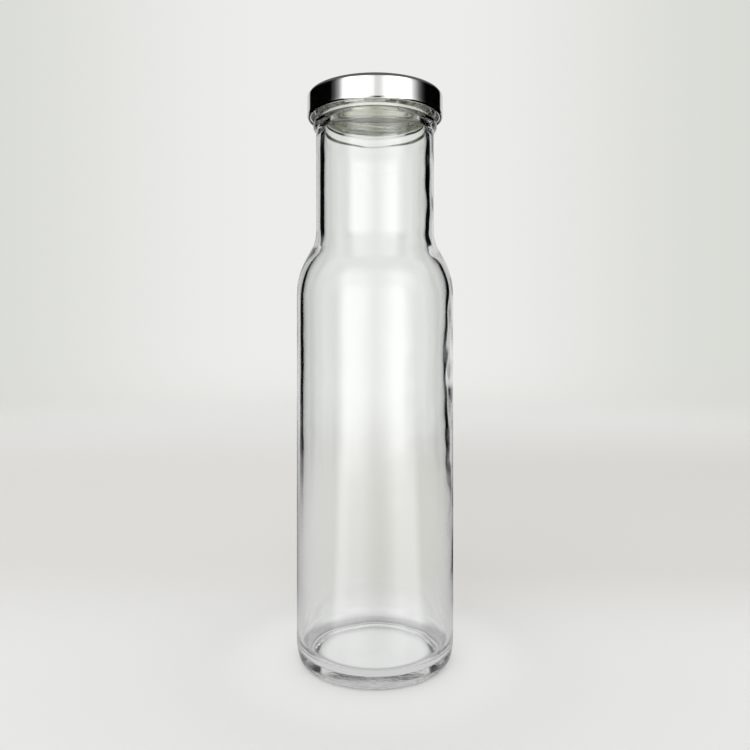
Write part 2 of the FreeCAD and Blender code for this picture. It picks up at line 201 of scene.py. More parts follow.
class Graph:
    """Adds nodes to a tree and joins their sockets."""

    def __init__(self, tree):
        self.tree = tree

    def add(self, kind, inputs=None, **settings):
        """A new node. A value in inputs is a socket to link from, or the input's own value."""
        node = self.tree.nodes.new(kind)
        node.location = (220 * (len(self.tree.nodes) - 1), 0)
        for name, value in settings.items():
            setattr(node, name, value)
        for key, value in (inputs or {}).items():
            self.feed(node.inputs[key], value)
        return node

    def feed(self, socket, value):
        if isinstance(value, bpy.types.NodeSocket):
            self.tree.links.new(value, socket)
        else:
            socket.default_value = value

    def math(self, operation, *values):
        """The result of a Math node on sockets or numbers."""
        return self.add("ShaderNodeMath", dict(enumerate(values)), operation=operation).outputs[0]

    def product(self, first, *others):
        """All the values multiplied."""
        for value in others:
            first = self.math("MULTIPLY", first, value)
        return first

    def vector(self, x=0.0, y=0.0, z=0.0):
        return self.add("ShaderNodeCombineXYZ", {"X": x, "Y": y, "Z": z}).outputs[0]

    def off_axis(self, spot):
        """How far a point is from the Z axis."""
        squares = [self.math("POWER", spot[axis], 2.0) for axis in "XY"]
        return self.math("SQRT", self.math("ADD", *squares))

    def rise(self, value, low, high):
        """0 below low, 1 above high, and a soft rise between them."""
        inputs = {"Value": value, "From Min": low, "From Max": high}
        return self.add("ShaderNodeMapRange", inputs, interpolation_type="SMOOTHSTEP").outputs[0]

    def fall(self, value, low, high):
        """1 below low, 0 above high, and a soft fall between them."""
        return self.math("SUBTRACT", 1.0, self.rise(value, low, high))

    def attribute(self, name):
        """A number stored on the points."""
        return self.add("GeometryNodeInputNamedAttribute", {"Name": name}, data_type="FLOAT").outputs[0]


def new_tree(name, inputs, outputs=(("Geometry", "NodeSocketGeometry"),), kind="GeometryNodeTree"):
    """An empty tree with named inputs and outputs, as (graph, input sockets, output sockets)."""
    tree = bpy.data.node_groups.new(name, kind)
    for socket_name, socket_type in inputs:
        tree.interface.new_socket(socket_name, in_out="INPUT", socket_type=socket_type)
    for socket_name, socket_type in outputs:
        tree.interface.new_socket(socket_name, in_out="OUTPUT", socket_type=socket_type)
    graph = Graph(tree)
    source = graph.add("NodeGroupInput")
    target = graph.add("NodeGroupOutput")
    return graph, source.outputs, target.inputs


def numbers(*names):
    """Number sockets for a new tree."""
    return [(name, "NodeSocketFloat") for name in names]


def turned_wall_tree():
    """Turns an outline of points about the Z axis: rounds corners, divides runs and sweeps it round."""
    graph, given, result = new_tree("Turned Wall", [
        ("Geometry", "NodeSocketGeometry"),
        ("Segments", "NodeSocketInt"),
        ("Arc Steps", "NodeSocketInt"),
    ])
    curve = graph.add("GeometryNodeMeshToCurve", {"Mesh": given["Geometry"]}).outputs[0]
    corner_round = graph.attribute("round")
    steps = graph.math("MULTIPLY", given["Arc Steps"], graph.math("GREATER_THAN", corner_round, 0.0))
    rounded = graph.add("GeometryNodeFilletCurve", {
        "Curve": curve,
        "Count": steps,
        "Radius": corner_round,
    }, mode="POLY").outputs[0]
    here = graph.add("GeometryNodeInputPosition").outputs[0]
    following = graph.add("GeometryNodeOffsetPointInCurve", {"Offset": 1}).outputs["Point Index"]
    there = graph.add("GeometryNodeFieldAtIndex", {
        "Value": here,
        "Index": following,
    }, data_type="FLOAT_VECTOR")
    run = graph.add("ShaderNodeVectorMath", {0: here, 1: there.outputs[0]}, operation="DISTANCE")
    cuts = graph.math("FLOOR", graph.math("DIVIDE", run.outputs["Value"], graph.attribute("step")))
    divided = graph.add("GeometryNodeSubdivideCurve", {"Curve": rounded, "Cuts": cuts}).outputs[0]
    rail = graph.add("GeometryNodeCurvePrimitiveCircle", {
        "Resolution": given["Segments"],
        "Radius": RAIL_RADIUS,
    }, mode="RADIUS").outputs[0]
    wall = graph.add("GeometryNodeCurveToMesh", {"Curve": rail, "Profile Curve": divided}).outputs[0]
    closed = graph.add("GeometryNodeMergeByDistance", {"Geometry": wall, "Distance": 0.002 * MM}).outputs[0]
    outward = graph.add("GeometryNodeFlipFaces", {"Mesh": closed}).outputs[0]
    graph.feed(result["Geometry"], outward)
    return graph.tree


def turned_wall(graph, given, arc_steps):
    """Places the turned wall in a piece's tree, with that many runs in each round."""
    return graph.add("GeometryNodeGroup", {
        "Geometry": given["Geometry"],
        "Segments": given["Segments"],
        "Arc Steps": arc_steps,
    }, node_tree=bpy.data.node_groups.get("Turned Wall") or turned_wall_tree()).outputs[0]


def outline_mesh(name, corners, closed):
    """An outline as an edge mesh for the circular rail, whose profile has X outward and Y downward.
    A corner is its radius, height, round, longest run after it and a mark, such as 1 on the inner side."""
    points = [(corner[0] - RAIL_RADIUS, -corner[1], 0.0) for corner in corners]
    edges = [(i, i + 1) for i in range(len(points) - 1)]
    if closed:
        edges.append((len(points) - 1, 0))
    mesh = bpy.data.meshes.new(name)
    mesh.from_pydata(points, edges, [])
    for column, attribute_name in ((2, "round"), (3, "step"), (4, "mark")):
        attribute = mesh.attributes.new(attribute_name, "FLOAT", "POINT")
        attribute.data.foreach_set("value", [corner[column] for corner in corners])
    return mesh


def run_tree(name, mesh, tree, values):
    """Runs a geometry tree on a mesh and keeps the result as a plain mesh object."""
    piece = bpy.data.objects.new(name, mesh)
    bpy.context.scene.collection.objects.link(piece)
    modifier = piece.modifiers.new(name, "NODES")
    modifier.node_group = tree
    for item in tree.interface.items_tree:
        if item.item_type == "SOCKET" and item.in_out == "INPUT" and item.name in values:
            modifier[item.identifier] = values[item.name]
    depsgraph = bpy.context.evaluated_depsgraph_get()
    made = bpy.data.meshes.new_from_object(piece.evaluated_get(depsgraph), depsgraph=depsgraph)
    piece.modifiers.remove(modifier)
    piece.data = made
    while len(made.materials) > 1 and made.materials[0] is None:
        made.materials.pop(index=0)
    if not made.polygons:
        raise RuntimeError(f"{name} came out empty")
    return piece


def finish_tree(graph, geometry, coats, result):
    """Ends a tree: smooth faces with sharp edges kept, no instances, and the materials. A coat is a material
    and which faces have it, or None for all."""
    bend = graph.add("GeometryNodeInputMeshEdgeAngle").outputs["Unsigned Angle"]
    soft = graph.add("FunctionNodeCompare", {0: bend, 1: math.radians(35)}, operation="LESS_THAN").outputs[0]
    faces = graph.add("GeometryNodeSetShadeSmooth", {
        "Geometry": geometry,
        "Shade Smooth": True,
    }, domain="FACE")
    edges = graph.add("GeometryNodeSetShadeSmooth", {
        "Geometry": faces.outputs[0],
        "Shade Smooth": soft,
    }, domain="EDGE")
    real = graph.add("GeometryNodeRealizeInstances", {"Geometry": edges.outputs[0]}).outputs[0]
    for material, selection in coats:
        chosen = {"Geometry": real, "Material": material}
        if selection is not None:
            chosen["Selection"] = selection
        real = graph.add("GeometryNodeSetMaterial", chosen).outputs[0]
    graph.feed(result["Geometry"], real)


# ---------------------------------------------------------------- glass bottle


def bottle_corners(sizes):
    """The outline of the glass from the push-up round to the inner floor, as the mould and the blow leave it.
    A long step leaves a run undivided, and mark 1 is the inner side."""
    body, neck, top = sizes.body_radius, sizes.neck_radius, sizes.height
    ring_outside = body - sizes.heel_inset
    ring_inside = ring_outside - sizes.bearing_width
    land = neck - sizes.land_step
    bead = land + sizes.bead_depth
    bore = land - sizes.lip_wall
    inside_body = body - sizes.body_wall
    inside_neck = neck - sizes.neck_wall
    half = math.tan(math.atan((body - neck) / (sizes.shoulder_head - sizes.shoulder_foot)) / 2)
    bead_upper = top - sizes.bead_top - sizes.bead_flank
    bead_lower = bead_upper - sizes.bead_face
    bore_foot = top - sizes.bore_depth
    lip_round, bead_round, bore_round = 0.75 * MM, 1.5 * MM, 6.0 * MM
    long, ramped, rippled = 1.0, 0.13 * MM, 1.5 * MM
    outside = [
        (0.0, sizes.push_up, 0.0, long),
        (ring_inside - sizes.push_up_slope, sizes.push_up_edge, 4.0 * MM, long),
        (ring_inside, 0.0, 1.0 * MM, long),
        (ring_outside, 0.0, 2.5 * MM, long),
        (body, sizes.heel_height, 20.0 * MM, long),
        (body, sizes.shoulder_foot, sizes.shoulder_round, long),
        (neck, sizes.shoulder_head, sizes.neck_round, long),
        (neck, bead_lower - sizes.bead_root, 3.0 * MM, long),
        (bead, bead_lower, bead_round, long),
        (bead, bead_upper, bead_round, long),
        (land, top - sizes.bead_top, 0.4 * MM, ramped),
        (land, top, lip_round, long),
    ]
    neck_inset, body_inset = sizes.neck_wall * half, sizes.body_wall * half
    inside = [
        (bore, top, lip_round, long),
        (bore, bore_foot, bore_round, rippled),
        (inside_neck, bore_foot - sizes.bore_taper, bore_round, rippled),
        (inside_neck, sizes.shoulder_head - neck_inset, sizes.neck_round + sizes.neck_wall, rippled),
        (inside_body, sizes.shoulder_foot - body_inset, sizes.shoulder_round - sizes.body_wall, rippled),
        (inside_body, sizes.floor_edge, 5.5 * MM, rippled),
        (0.0, sizes.floor_centre, 0.0, rippled),
    ]
    return [(*corner, 0.0) for corner in outside] + [(*corner, 1.0) for corner in inside]


def ramps_tree():
    """Raises the ramps on the finish wall. Each follows a circle set off towards it, and climbs."""
    graph, given, result = new_tree("Lug Ramps", [
        ("Geometry", "NodeSocketGeometry"),
        ("Count", "NodeSocketInt"),
        *numbers("Middle", "Land", "Depth", "Half Height", "Slope", "Offset", "Tilt"),
    ])
    position = graph.add("GeometryNodeInputPosition").outputs[0]
    spot = graph.add("ShaderNodeSeparateXYZ", {0: position}).outputs
    turn = graph.math("ARCTAN2", spot["Y"], spot["X"])
    pitch = graph.math("DIVIDE", 2 * math.pi, given["Count"])
    half_pitch = graph.math("DIVIDE", pitch, 2.0)
    within_pitch = graph.math("FLOORED_MODULO", graph.math("ADD", turn, half_pitch), pitch)
    local = graph.math("SUBTRACT", within_pitch, half_pitch)
    own_radius = graph.math("SUBTRACT", graph.math("ADD", given["Land"], given["Depth"]), given["Offset"])
    across = graph.math("MULTIPLY", given["Offset"], graph.math("SINE", local))
    along = graph.math("MULTIPLY", given["Offset"], graph.math("COSINE", local))
    squared = graph.math("SUBTRACT", graph.math("POWER", own_radius, 2.0), graph.math("POWER", across, 2.0))
    crest = graph.math("SUBTRACT", graph.math("ADD", along, graph.math("SQRT", squared)), given["Land"])
    climb = graph.product(own_radius, graph.math("SINE", local), graph.math("TANGENT", given["Tilt"]))
    above = graph.math("SUBTRACT", graph.math("SUBTRACT", spot["Z"], given["Middle"]), climb)
    room = graph.math("SUBTRACT", given["Half Height"], graph.math("ABSOLUTE", above))
    flank = graph.math("MULTIPLY", room, given["Slope"])
    crest_round, root_round = 0.3 * MM, 0.12 * MM
    height = graph.math("SMOOTH_MAX", graph.math("SMOOTH_MIN", crest, flank, crest_round), 0.0, root_round)
    radius = graph.off_axis(spot)
    stretch = graph.math("DIVIDE", height, radius)
    offset = graph.vector(graph.product(spot["X"], stretch), graph.product(spot["Y"], stretch))
    off_land = graph.math("ABSOLUTE", graph.math("SUBTRACT", radius, given["Land"]))
    on_land = graph.math("LESS_THAN", off_land, 0.01 * MM)
    raised = graph.add("GeometryNodeSetPosition", {
        "Geometry": given["Geometry"],
        "Selection": on_land,
        "Offset": offset,
    }).outputs[0]
    graph.feed(result["Geometry"], raised)
    return graph.tree


def blown_face_tree():
    """Makes the inner face uneven, as blown glass is: broad swells, small ripples, and a body wall that is
    thicker on its right. The finish and the floor keep their shape."""
    graph, given, result = new_tree("Blown Face", [
        ("Geometry", "NodeSocketGeometry"),
        *numbers(
            "Swell", "Swell Size", "Ripple", "Ripple Size", "Right Extra", "Shoulder Foot",
            "Blown Top",
        ),
        ("Seed", "NodeSocketInt"),
    ])
    position = graph.add("GeometryNodeInputPosition").outputs[0]
    spot = graph.add("ShaderNodeSeparateXYZ", {0: position}).outputs
    height = spot["Z"]
    inner = graph.rise(graph.attribute("mark"), 0.6, 1.0)
    below_finish = graph.fall(height, given["Blown Top"], graph.math("ADD", given["Blown Top"], 8.0 * MM))
    off_floor = graph.rise(height, 4.0 * MM, 16.0 * MM)
    blown = graph.product(inner, below_finish, off_floor)
    rightward = graph.math("DIVIDE", spot["X"], graph.off_axis(spot))
    total = None
    for depth, size, shift in (("Swell", "Swell Size", 0.0), ("Ripple", "Ripple Size", 40.0)):
        noise = graph.add("ShaderNodeTexNoise", {
            "Vector": position,
            "W": graph.math("ADD", given["Seed"], shift),
            "Scale": graph.math("DIVIDE", 1.0, given[size]),
            "Detail": 0.0,
        }, noise_dimensions="4D").outputs[0]
        reach = graph.math("MULTIPLY", 3.0, given[depth])
        wave = graph.math("MULTIPLY", graph.math("SUBTRACT", noise, 0.5), reach)
        total = wave if total is None else graph.math("ADD", total, wave)
    more_on_right = graph.math("ADD", 0.7, graph.math("MULTIPLY", 0.5, rightward))
    swell = graph.product(total, more_on_right, blown)
    normal = graph.add("GeometryNodeInputNormal").outputs["Normal"]
    uneven = graph.add("ShaderNodeVectorMath", {0: normal, "Scale": swell}, operation="SCALE").outputs[0]
    shoulder = given["Shoulder Foot"]
    in_body = graph.fall(height, shoulder, graph.math("ADD", shoulder, 14.0 * MM))
    in_upper_body = graph.math("MULTIPLY", in_body, graph.rise(height, 55.0 * MM, 85.0 * MM))
    share_on_right = graph.math("MULTIPLY_ADD", rightward, -0.5, -0.5)
    inset = graph.math("MULTIPLY", given["Right Extra"], share_on_right)
    sideways = graph.vector(graph.product(blown, in_upper_body, inset))
    offset = graph.add("ShaderNodeVectorMath", {0: uneven, 1: sideways}, operation="ADD").outputs[0]
    moved = graph.add("GeometryNodeSetPosition", {"Geometry": given["Geometry"], "Offset": offset}).outputs[0]
    graph.feed(result["Geometry"], moved)
    return graph.tree


def glass_tree():
    graph, given, result = new_tree("Glass Bottle", [
        ("Geometry", "NodeSocketGeometry"),
        ("Segments", "NodeSocketInt"),
        ("Ramps", "NodeSocketInt"),
        *numbers(
            "Ramp Middle", "Land", "Ramp Depth", "Ramp Half Height", "Ramp Slope", "Ramp Offset",
            "Ramp Tilt", "Swell", "Swell Size", "Ripple", "Ripple Size", "Right Extra",
            "Shoulder Foot", "Blown Top",
        ),
        ("Seed", "NodeSocketInt"),
        ("Glass", "NodeSocketMaterial"),
    ])
    ramped = graph.add("GeometryNodeGroup", {
        "Geometry": turned_wall(graph, given, arc_steps=10),
        "Count": given["Ramps"],
        "Middle": given["Ramp Middle"],
        "Land": given["Land"],
        "Depth": given["Ramp Depth"],
        "Half Height": given["Ramp Half Height"],
        "Slope": given["Ramp Slope"],
        "Offset": given["Ramp Offset"],
        "Tilt": given["Ramp Tilt"],
    }, node_tree=ramps_tree())
    blown = graph.add("GeometryNodeGroup", {"Geometry": ramped.outputs[0]}, node_tree=blown_face_tree())
    for socket in blown.inputs[1:]:
        graph.feed(socket, given[socket.name])
    finish_tree(graph, blown.outputs[0], [(given["Glass"], None)], result)
    return graph.tree


# ---------------------------------------------------------------- materials


def new_material(name):
    """A material with a Principled shader, as (material, graph, shader)."""
    material = bpy.data.materials.new(name)
    material.use_nodes = True
    graph = Graph(material.node_tree)
    shader = material.node_tree.nodes["Principled BSDF"]
    return material, graph, shader


def grain_group():
    """The unevenness that the materials share: fine grain and broad clouds, as fields of 0 to 1."""
    graph, given, result = new_tree(
        "Surface Grain",
        [("Place", "NodeSocketVector"), *numbers("Grain Size", "Cloud Size")],
        numbers("Grain", "Cloud"),
        kind="ShaderNodeTree",
    )
    for name, detail in (("Grain", 2.0), ("Cloud", 1.0)):
        noise = graph.add("ShaderNodeTexNoise", {
            "Vector": given["Place"],
            "Scale": graph.math("DIVIDE", 1.0, given[name + " Size"]),
            "Detail": detail,
        }).outputs[0]
        graph.feed(result[name], noise)
    return graph.tree


def surface_grain(graph, grain_size, cloud_size):
    """Places the grain group in a material, as (grain, cloud)."""
    node = graph.add("ShaderNodeGroup", {
        "Place": graph.add("ShaderNodeTexCoord").outputs["Object"],
        "Grain Size": grain_size,
        "Cloud Size": cloud_size,
    }, node_tree=bpy.data.node_groups.get("Surface Grain") or grain_group())
    return node.outputs["Grain"], node.outputs["Cloud"]


def shaded_colour(colour_value, factor):
    """A paler or duller tone of a colour."""
    return tuple(min(1.0, channel * factor) for channel in colour_value)


def glass_material(finishes):
    """Clear glass with faint waves, and a stippled underside."""
    material, graph, shader = new_material("clear_flint_glass")
    dots, waves = surface_grain(graph, grain_size=1.0 * MM, cloud_size=9.0 * MM)
    place = graph.add("ShaderNodeTexCoord").outputs["Object"]
    height = graph.add("ShaderNodeSeparateXYZ", {0: place}).outputs["Z"]
    underside = graph.fall(height, 0.5 * MM, 1.9 * MM)
    relief = graph.math("ADD", waves, graph.product(dots, underside, 2.5))
    bump = graph.add("ShaderNodeBump", {"Height": relief, "Strength": 0.4, "Distance": 0.06 * MM}).outputs[0]
    graph.feed(shader.inputs["Normal"], bump)
    shader.inputs["Base Color"].default_value = (*finishes.glass, 1.0)
    shader.inputs["Roughness"].default_value = 0.0
    shader.inputs["IOR"].default_value = finishes.glass_index
    shader.inputs["Transmission Weight"].default_value = 1.0
    return material


def tin_material(finishes):
    """Bright tinplate, a little cloudier in places."""
    material, graph, shader = new_material("bright_tinplate")
    grain, cloud = surface_grain(graph, grain_size=1.1 * MM, cloud_size=16.0 * MM)
    gloss = graph.add("ShaderNodeMapRange", {"Value": cloud, "To Min": 0.04, "To Max": 0.09}).outputs[0]
    bump = graph.add("ShaderNodeBump", {"Height": grain, "Strength": 0.02, "Distance": 0.05 * MM}).outputs[0]
    shader.inputs["Base Color"].default_value = (*finishes.tin, 1.0)
    shader.inputs["Metallic"].default_value = 1.0
    graph.feed(shader.inputs["Roughness"], gloss)
    graph.feed(shader.inputs["Normal"], bump)
    return material


def lacquer_material(finishes):
    """Food lacquer on the tinplate, thicker in places."""
    material, graph, shader = new_material("gold_food_lacquer")
    grain, cloud = surface_grain(graph, grain_size=0.8 * MM, cloud_size=8.0 * MM)
    gloss = graph.add("ShaderNodeMapRange", {"Value": grain, "To Min": 0.06, "To Max": 0.12}).outputs[0]
    thin, thick = shaded_colour(finishes.lacquer, 1.12), shaded_colour(finishes.lacquer, 0.9)
    graph.feed(shader.inputs["Base Color"], mix_colour(graph, cloud, thin, thick))
    shader.inputs["Metallic"].default_value = 1.0
    graph.feed(shader.inputs["Roughness"], gloss)
    return material


def compound_material(finishes):
    """Soft pale compound, slightly pitted."""
    material, graph, shader = new_material("soft_sealing_compound")
    grain, cloud = surface_grain(graph, grain_size=1.4 * MM, cloud_size=10.0 * MM)
    bump = graph.add("ShaderNodeBump", {"Height": grain, "Strength": 0.1, "Distance": 0.1 * MM}).outputs[0]
    pale, dull = shaded_colour(finishes.compound, 1.05), shaded_colour(finishes.compound, 0.93)
    graph.feed(shader.inputs["Base Color"], mix_colour(graph, cloud, pale, dull))
    shader.inputs["Roughness"].default_value = 0.45
    graph.feed(shader.inputs["Normal"], bump)
    return material


# ---------------------------------------------------------------- cap and ring


def cap_corners(sizes):
    """The section of the pressed shell, from the panel's underside out, round the curl and back over the top.
    Mark 1 is the lacquered side."""
    radius, top, foot, plate = sizes.radius, sizes.top, sizes.foot, sizes.plate
    panel = top - sizes.panel_recess
    edge = sizes.rim_radius - sizes.panel_slope
    curl_inside = radius - sizes.curl_width
    lacquered = [
        (0.0, panel - plate, 0.0),
        (edge, panel - plate, sizes.panel_round),
        (sizes.rim_radius, top - plate, sizes.panel_round),
        (radius - plate, top - plate, sizes.corner_round - plate),
        (radius - plate, foot + plate, sizes.curl_round - plate),
        (curl_inside + plate, foot + plate, sizes.curl_round - plate),
        (curl_inside + plate, foot + sizes.curl_height, 0.0),
    ]
    bare = [
        (curl_inside, foot + sizes.curl_height, 0.0),
        (curl_inside, foot, sizes.curl_round),
        (radius, foot, sizes.curl_round),
        (radius, top, sizes.corner_round),
        (sizes.rim_radius, top, sizes.panel_round),
        (edge, panel, sizes.panel_round),
        (0.0, panel, 0.0),
    ]
    step = 1.0 * MM
    return [(*corner, step, 1.0) for corner in lacquered] + [(*corner, step, 0.0) for corner in bare]


def lugs_tree():
    """A lug is the curl pressed in flat: a short arc of a rounded bar, repeated round the axis."""
    graph, given, result = new_tree("Cap Lugs", [
        ("Count", "NodeSocketInt"),
        *numbers("Tip", "Root", "Foot", "Height", "Round", "Turn", "Sweep"),
    ])
    width = graph.math("SUBTRACT", given["Root"], given["Tip"])
    middle = graph.math("ADD", given["Tip"], graph.math("DIVIDE", width, 2.0))
    section = graph.add("GeometryNodeCurvePrimitiveQuadrilateral", {
        "Width": width,
        "Height": given["Height"],
    })
    rounded = graph.add("GeometryNodeFilletCurve", {
        "Curve": section.outputs[0],
        "Count": 6,
        "Radius": given["Round"],
        "Limit Radius": True,
    }, mode="POLY").outputs[0]
    half_sweep = graph.math("DIVIDE", given["Sweep"], 2.0)
    start = graph.math("SUBTRACT", graph.math("MULTIPLY", given["Turn"], -1.0), half_sweep)
    arc = graph.add("GeometryNodeCurveArc", {
        "Resolution": 24,
        "Radius": middle,
        "Start Angle": start,
        "Sweep Angle": given["Sweep"],
    }, mode="RADIUS").outputs[0]
    bar = graph.add("GeometryNodeCurveToMesh", {"Curve": arc, "Profile Curve": rounded, "Fill Caps": True})
    lift = graph.math("ADD", given["Foot"], graph.math("DIVIDE", given["Height"], 2.0))
    placed = graph.add("GeometryNodeTransform", {
        "Geometry": bar.outputs[0],
        "Translation": graph.vector(z=lift),
    }).outputs[0]
    points = graph.add("GeometryNodePoints", {"Count": given["Count"]}).outputs[0]
    index = graph.add("GeometryNodeInputIndex").outputs[0]
    step = graph.math("MULTIPLY", index, graph.math("DIVIDE", 2 * math.pi, given["Count"]))
    turned = graph.add("FunctionNodeAxisAngleToRotation", {"Axis": (0.0, 0.0, 1.0), "Angle": step}).outputs[0]
    lugs = graph.add("GeometryNodeInstanceOnPoints", {
        "Points": points,
        "Instance": placed,
        "Rotation": turned,
    }).outputs[0]
    real = graph.add("GeometryNodeRealizeInstances", {"Geometry": lugs}).outputs[0]
    graph.feed(result["Geometry"], real)
    return graph.tree


def cap_tree():
    graph, given, result = new_tree("Tinplate Cap", [
        ("Geometry", "NodeSocketGeometry"),
        ("Segments", "NodeSocketInt"),
        ("Count", "NodeSocketInt"),
        *numbers("Tip", "Root", "Foot", "Height", "Round", "Turn", "Sweep"),
        ("Tin", "NodeSocketMaterial"),
        ("Lacquer", "NodeSocketMaterial"),
    ])
    shell = turned_wall(graph, given, arc_steps=8)
    lugs = graph.add("GeometryNodeGroup", node_tree=lugs_tree())
    for socket in lugs.inputs:
        graph.feed(socket, given[socket.name])
    both = graph.add("GeometryNodeJoinGeometry")
    for part in (shell, lugs.outputs[0]):
        graph.feed(both.inputs[0], part)
    lacquered = graph.math("GREATER_THAN", graph.attribute("mark"), 0.5)
    finish_tree(graph, both.outputs[0], [(given["Tin"], None), (given["Lacquer"], lacquered)], result)
    return graph.tree


def ring_corners(sizes):
    """The section of the ring, from its inner edge on the lip out round the lap and back over its top."""
    corners = [
        (sizes.inside, sizes.seat, sizes.soft_round),
        (sizes.lap_inside, sizes.seat, sizes.soft_round),
        (sizes.lap_inside, sizes.foot, sizes.soft_round),
        (sizes.outside, sizes.foot, sizes.soft_round),
        (sizes.outside, sizes.top, sizes.outer_round),
        (sizes.inside, sizes.top, sizes.soft_round),
    ]
    step = 1.0 * MM
    return [(*corner, step, 0.0) for corner in corners]


def ring_tree():
    graph, given, result = new_tree("Sealing Ring", [
        ("Geometry", "NodeSocketGeometry"),
        ("Segments", "NodeSocketInt"),
        ("Compound", "NodeSocketMaterial"),
    ])
    finish_tree(graph, turned_wall(graph, given, arc_steps=6), [(given["Compound"], None)], result)
    return graph.tree


# ---------------------------------------------------------------- operators


class BOTTLE_OT_glass(Operator):
    """Blow the glass bottle"""
    bl_idname = "bottle.glass"
    bl_label = "Glass Bottle"

    def execute(self, context):
        scene = context.scene
        sizes, ramps = scene.bottle_glass, scene.bottle_ramps
        mesh = outline_mesh("glass_outline", bottle_corners(sizes), closed=False)
        piece = run_tree("glass_bottle", mesh, glass_tree(), {
            "Segments": sizes.segments,
            "Ramps": ramps.count,
            "Ramp Middle": sizes.height - ramps.drop,
            "Land": sizes.neck_radius - sizes.land_step,
            "Ramp Depth": ramps.depth,
            "Ramp Half Height": ramps.half_height,
            "Ramp Slope": ramps.slope,
            "Ramp Offset": ramps.offset,
            "Ramp Tilt": ramps.tilt,
            "Swell": sizes.unevenness,
            "Swell Size": sizes.wave_size,
            "Ripple": sizes.ripple,
            "Ripple Size": sizes.ripple_size,
            "Right Extra": sizes.right_extra,
            "Shoulder Foot": sizes.shoulder_foot,
            "Blown Top": sizes.height - sizes.blown_top,
            "Seed": sizes.seed,
            "Glass": glass_material(scene.bottle_finishes),
        })
        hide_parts("bottle")
        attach(piece, "root")
        return {"FINISHED"}


class BOTTLE_OT_cap(Operator):
    """Press the tinplate cap and roll its curl and lugs"""
    bl_idname = "bottle.cap"
    bl_label = "Twist-off Cap"

    def execute(self, context):
        scene = context.scene
        sizes = scene.bottle_cap
        mesh = outline_mesh("cap_outline", cap_corners(sizes), closed=False)
        piece = run_tree("twist_off_cap", mesh, cap_tree(), {
            "Segments": sizes.segments,
            "Count": scene.bottle_ramps.count,
            "Tip": sizes.lug_tip,
            "Root": sizes.radius - sizes.curl_width / 2,
            "Foot": sizes.foot + sizes.lug_lift,
            "Height": sizes.lug_height,
            "Round": sizes.lug_round,
            "Turn": sizes.lug_turn,
            "Sweep": sizes.lug_sweep,
            "Tin": tin_material(scene.bottle_finishes),
            "Lacquer": lacquer_material(scene.bottle_finishes),
        })
        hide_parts("cap")
        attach(piece, "root")
        return {"FINISHED"}


class BOTTLE_OT_ring(Operator):
    """Lay the sealing ring into the cap"""
    bl_idname = "bottle.ring"
    bl_label = "Sealing Ring"

    def execute(self, context):
        scene = context.scene
        mesh = outline_mesh("ring_outline", ring_corners(scene.bottle_ring), closed=True)
        piece = run_tree("sealing_ring", mesh, ring_tree(), {
            "Segments": scene.bottle_cap.segments,
            "Compound": compound_material(scene.bottle_finishes),
        })
        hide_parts("cap_liner")
        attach(piece, "root")
        return {"FINISHED"}


class BOTTLE_OT_stage(Operator):
    """Set up the floor, the backdrop, the lights and the camera"""
    bl_idname = "bottle.stage"
    bl_label = "Studio"

    def execute(self, context):
        scene = context.scene
        studio = scene.bottle_studio
        room = room_group(studio)
        make_floor(studio, room)
        make_surroundings(scene, studio, room)
        make_lamp(scene, studio)
        make_camera(scene, studio)
        scene.view_settings.view_transform = "Standard"
        # Light turns back often in the thick base, which is black if it is stopped early.
        for kind in ("max_bounces", "glossy_bounces", "transmission_bounces"):
            setattr(scene.cycles, kind, 20)
        return {"FINISHED"}


# ---------------------------------------------------------------- studio


def room_group(studio):
    """What glass and metal see of the room. Turn is the angle from straight behind the bottle, to the right,
    as a share of half a turn. Mirrored is for light off an outer face, Inside for light that turned back in
    the glass."""
    graph, given, result = new_tree(
        "Studio Room", numbers("Turn"), numbers("Mirrored", "Inside"), kind="ShaderNodeTree"
    )
    bright = studio.window
    left_window = [
        (-163, 1.9), (-148, 2.1), (-140, bright), (-134, bright), (-126, 1.2), (-118, 0.35), (-110, 0.08),
        (-102, 0.0),
    ]
    pale_back = [(-39, 0.0), (-34, 0.7), (34, 0.7), (39, 0.0)]
    right_window = [
        (88, 0.0), (95, 0.03), (102, 0.15), (109, 0.5), (116, 0.95), (127, bright), (150, bright), (160, 1.7),
    ]
    whole_turn = [(-180, 1.0), (-173, 1.3), *left_window, *pale_back, *right_window, (167, 1.1), (173, 0.85)]
    spread = graph.math("MULTIPLY_ADD", given["Turn"], 0.5, 0.5)
    graph.feed(result["Mirrored"], band(graph, spread, whole_turn, -180))
    half_turn = [
        (0, 0.78), (32, 0.78), (35, 0.0), (75, 0.0), (82, 0.6), (98, 0.6), (105, 0.0), (118, 0.0), (132, 1.7),
        (150, 1.8), (180, 0.85),
    ]
    graph.feed(result["Inside"], band(graph, graph.math("ABSOLUTE", given["Turn"]), half_turn, 0))
    return graph.tree


def band(graph, position, stops, start):
    """Brightness from the start angle to 180 degrees, for a position of 0 to 1 along it. A stop is degrees
    and brightness. A ramp holds at most 1, so it is scaled."""
    most = max(brightness for degrees, brightness in stops)
    ramp = graph.add("ShaderNodeValToRGB", {"Fac": position})
    elements = ramp.color_ramp.elements
    while len(elements) < len(stops):
        elements.new(0.5)
    for element, stop in zip(elements, stops):
        element.position = (stop[0] - start) / (180 - start)
    for element, stop in zip(elements, stops):
        element.color = (stop[1] / most,) * 3 + (1.0,)
    return graph.math("MULTIPLY", ramp.outputs["Color"], most)


def path_kinds(graph):
    """Where a ray has been: off a face, in glass, by way of a matt surface, and off two faces or more. Each
    is 1 or 0."""
    path = graph.add("ShaderNodeLightPath").outputs
    mirror = graph.math("GREATER_THAN", path["Glossy Depth"], 0.5)
    entered = graph.math("GREATER_THAN", path["Transmission Depth"], 0.5)
    scattered = graph.math("GREATER_THAN", path["Diffuse Depth"], 0.5)
    spent = graph.math("GREATER_THAN", path["Glossy Depth"], 1.5)
    return mirror, entered, scattered, spent


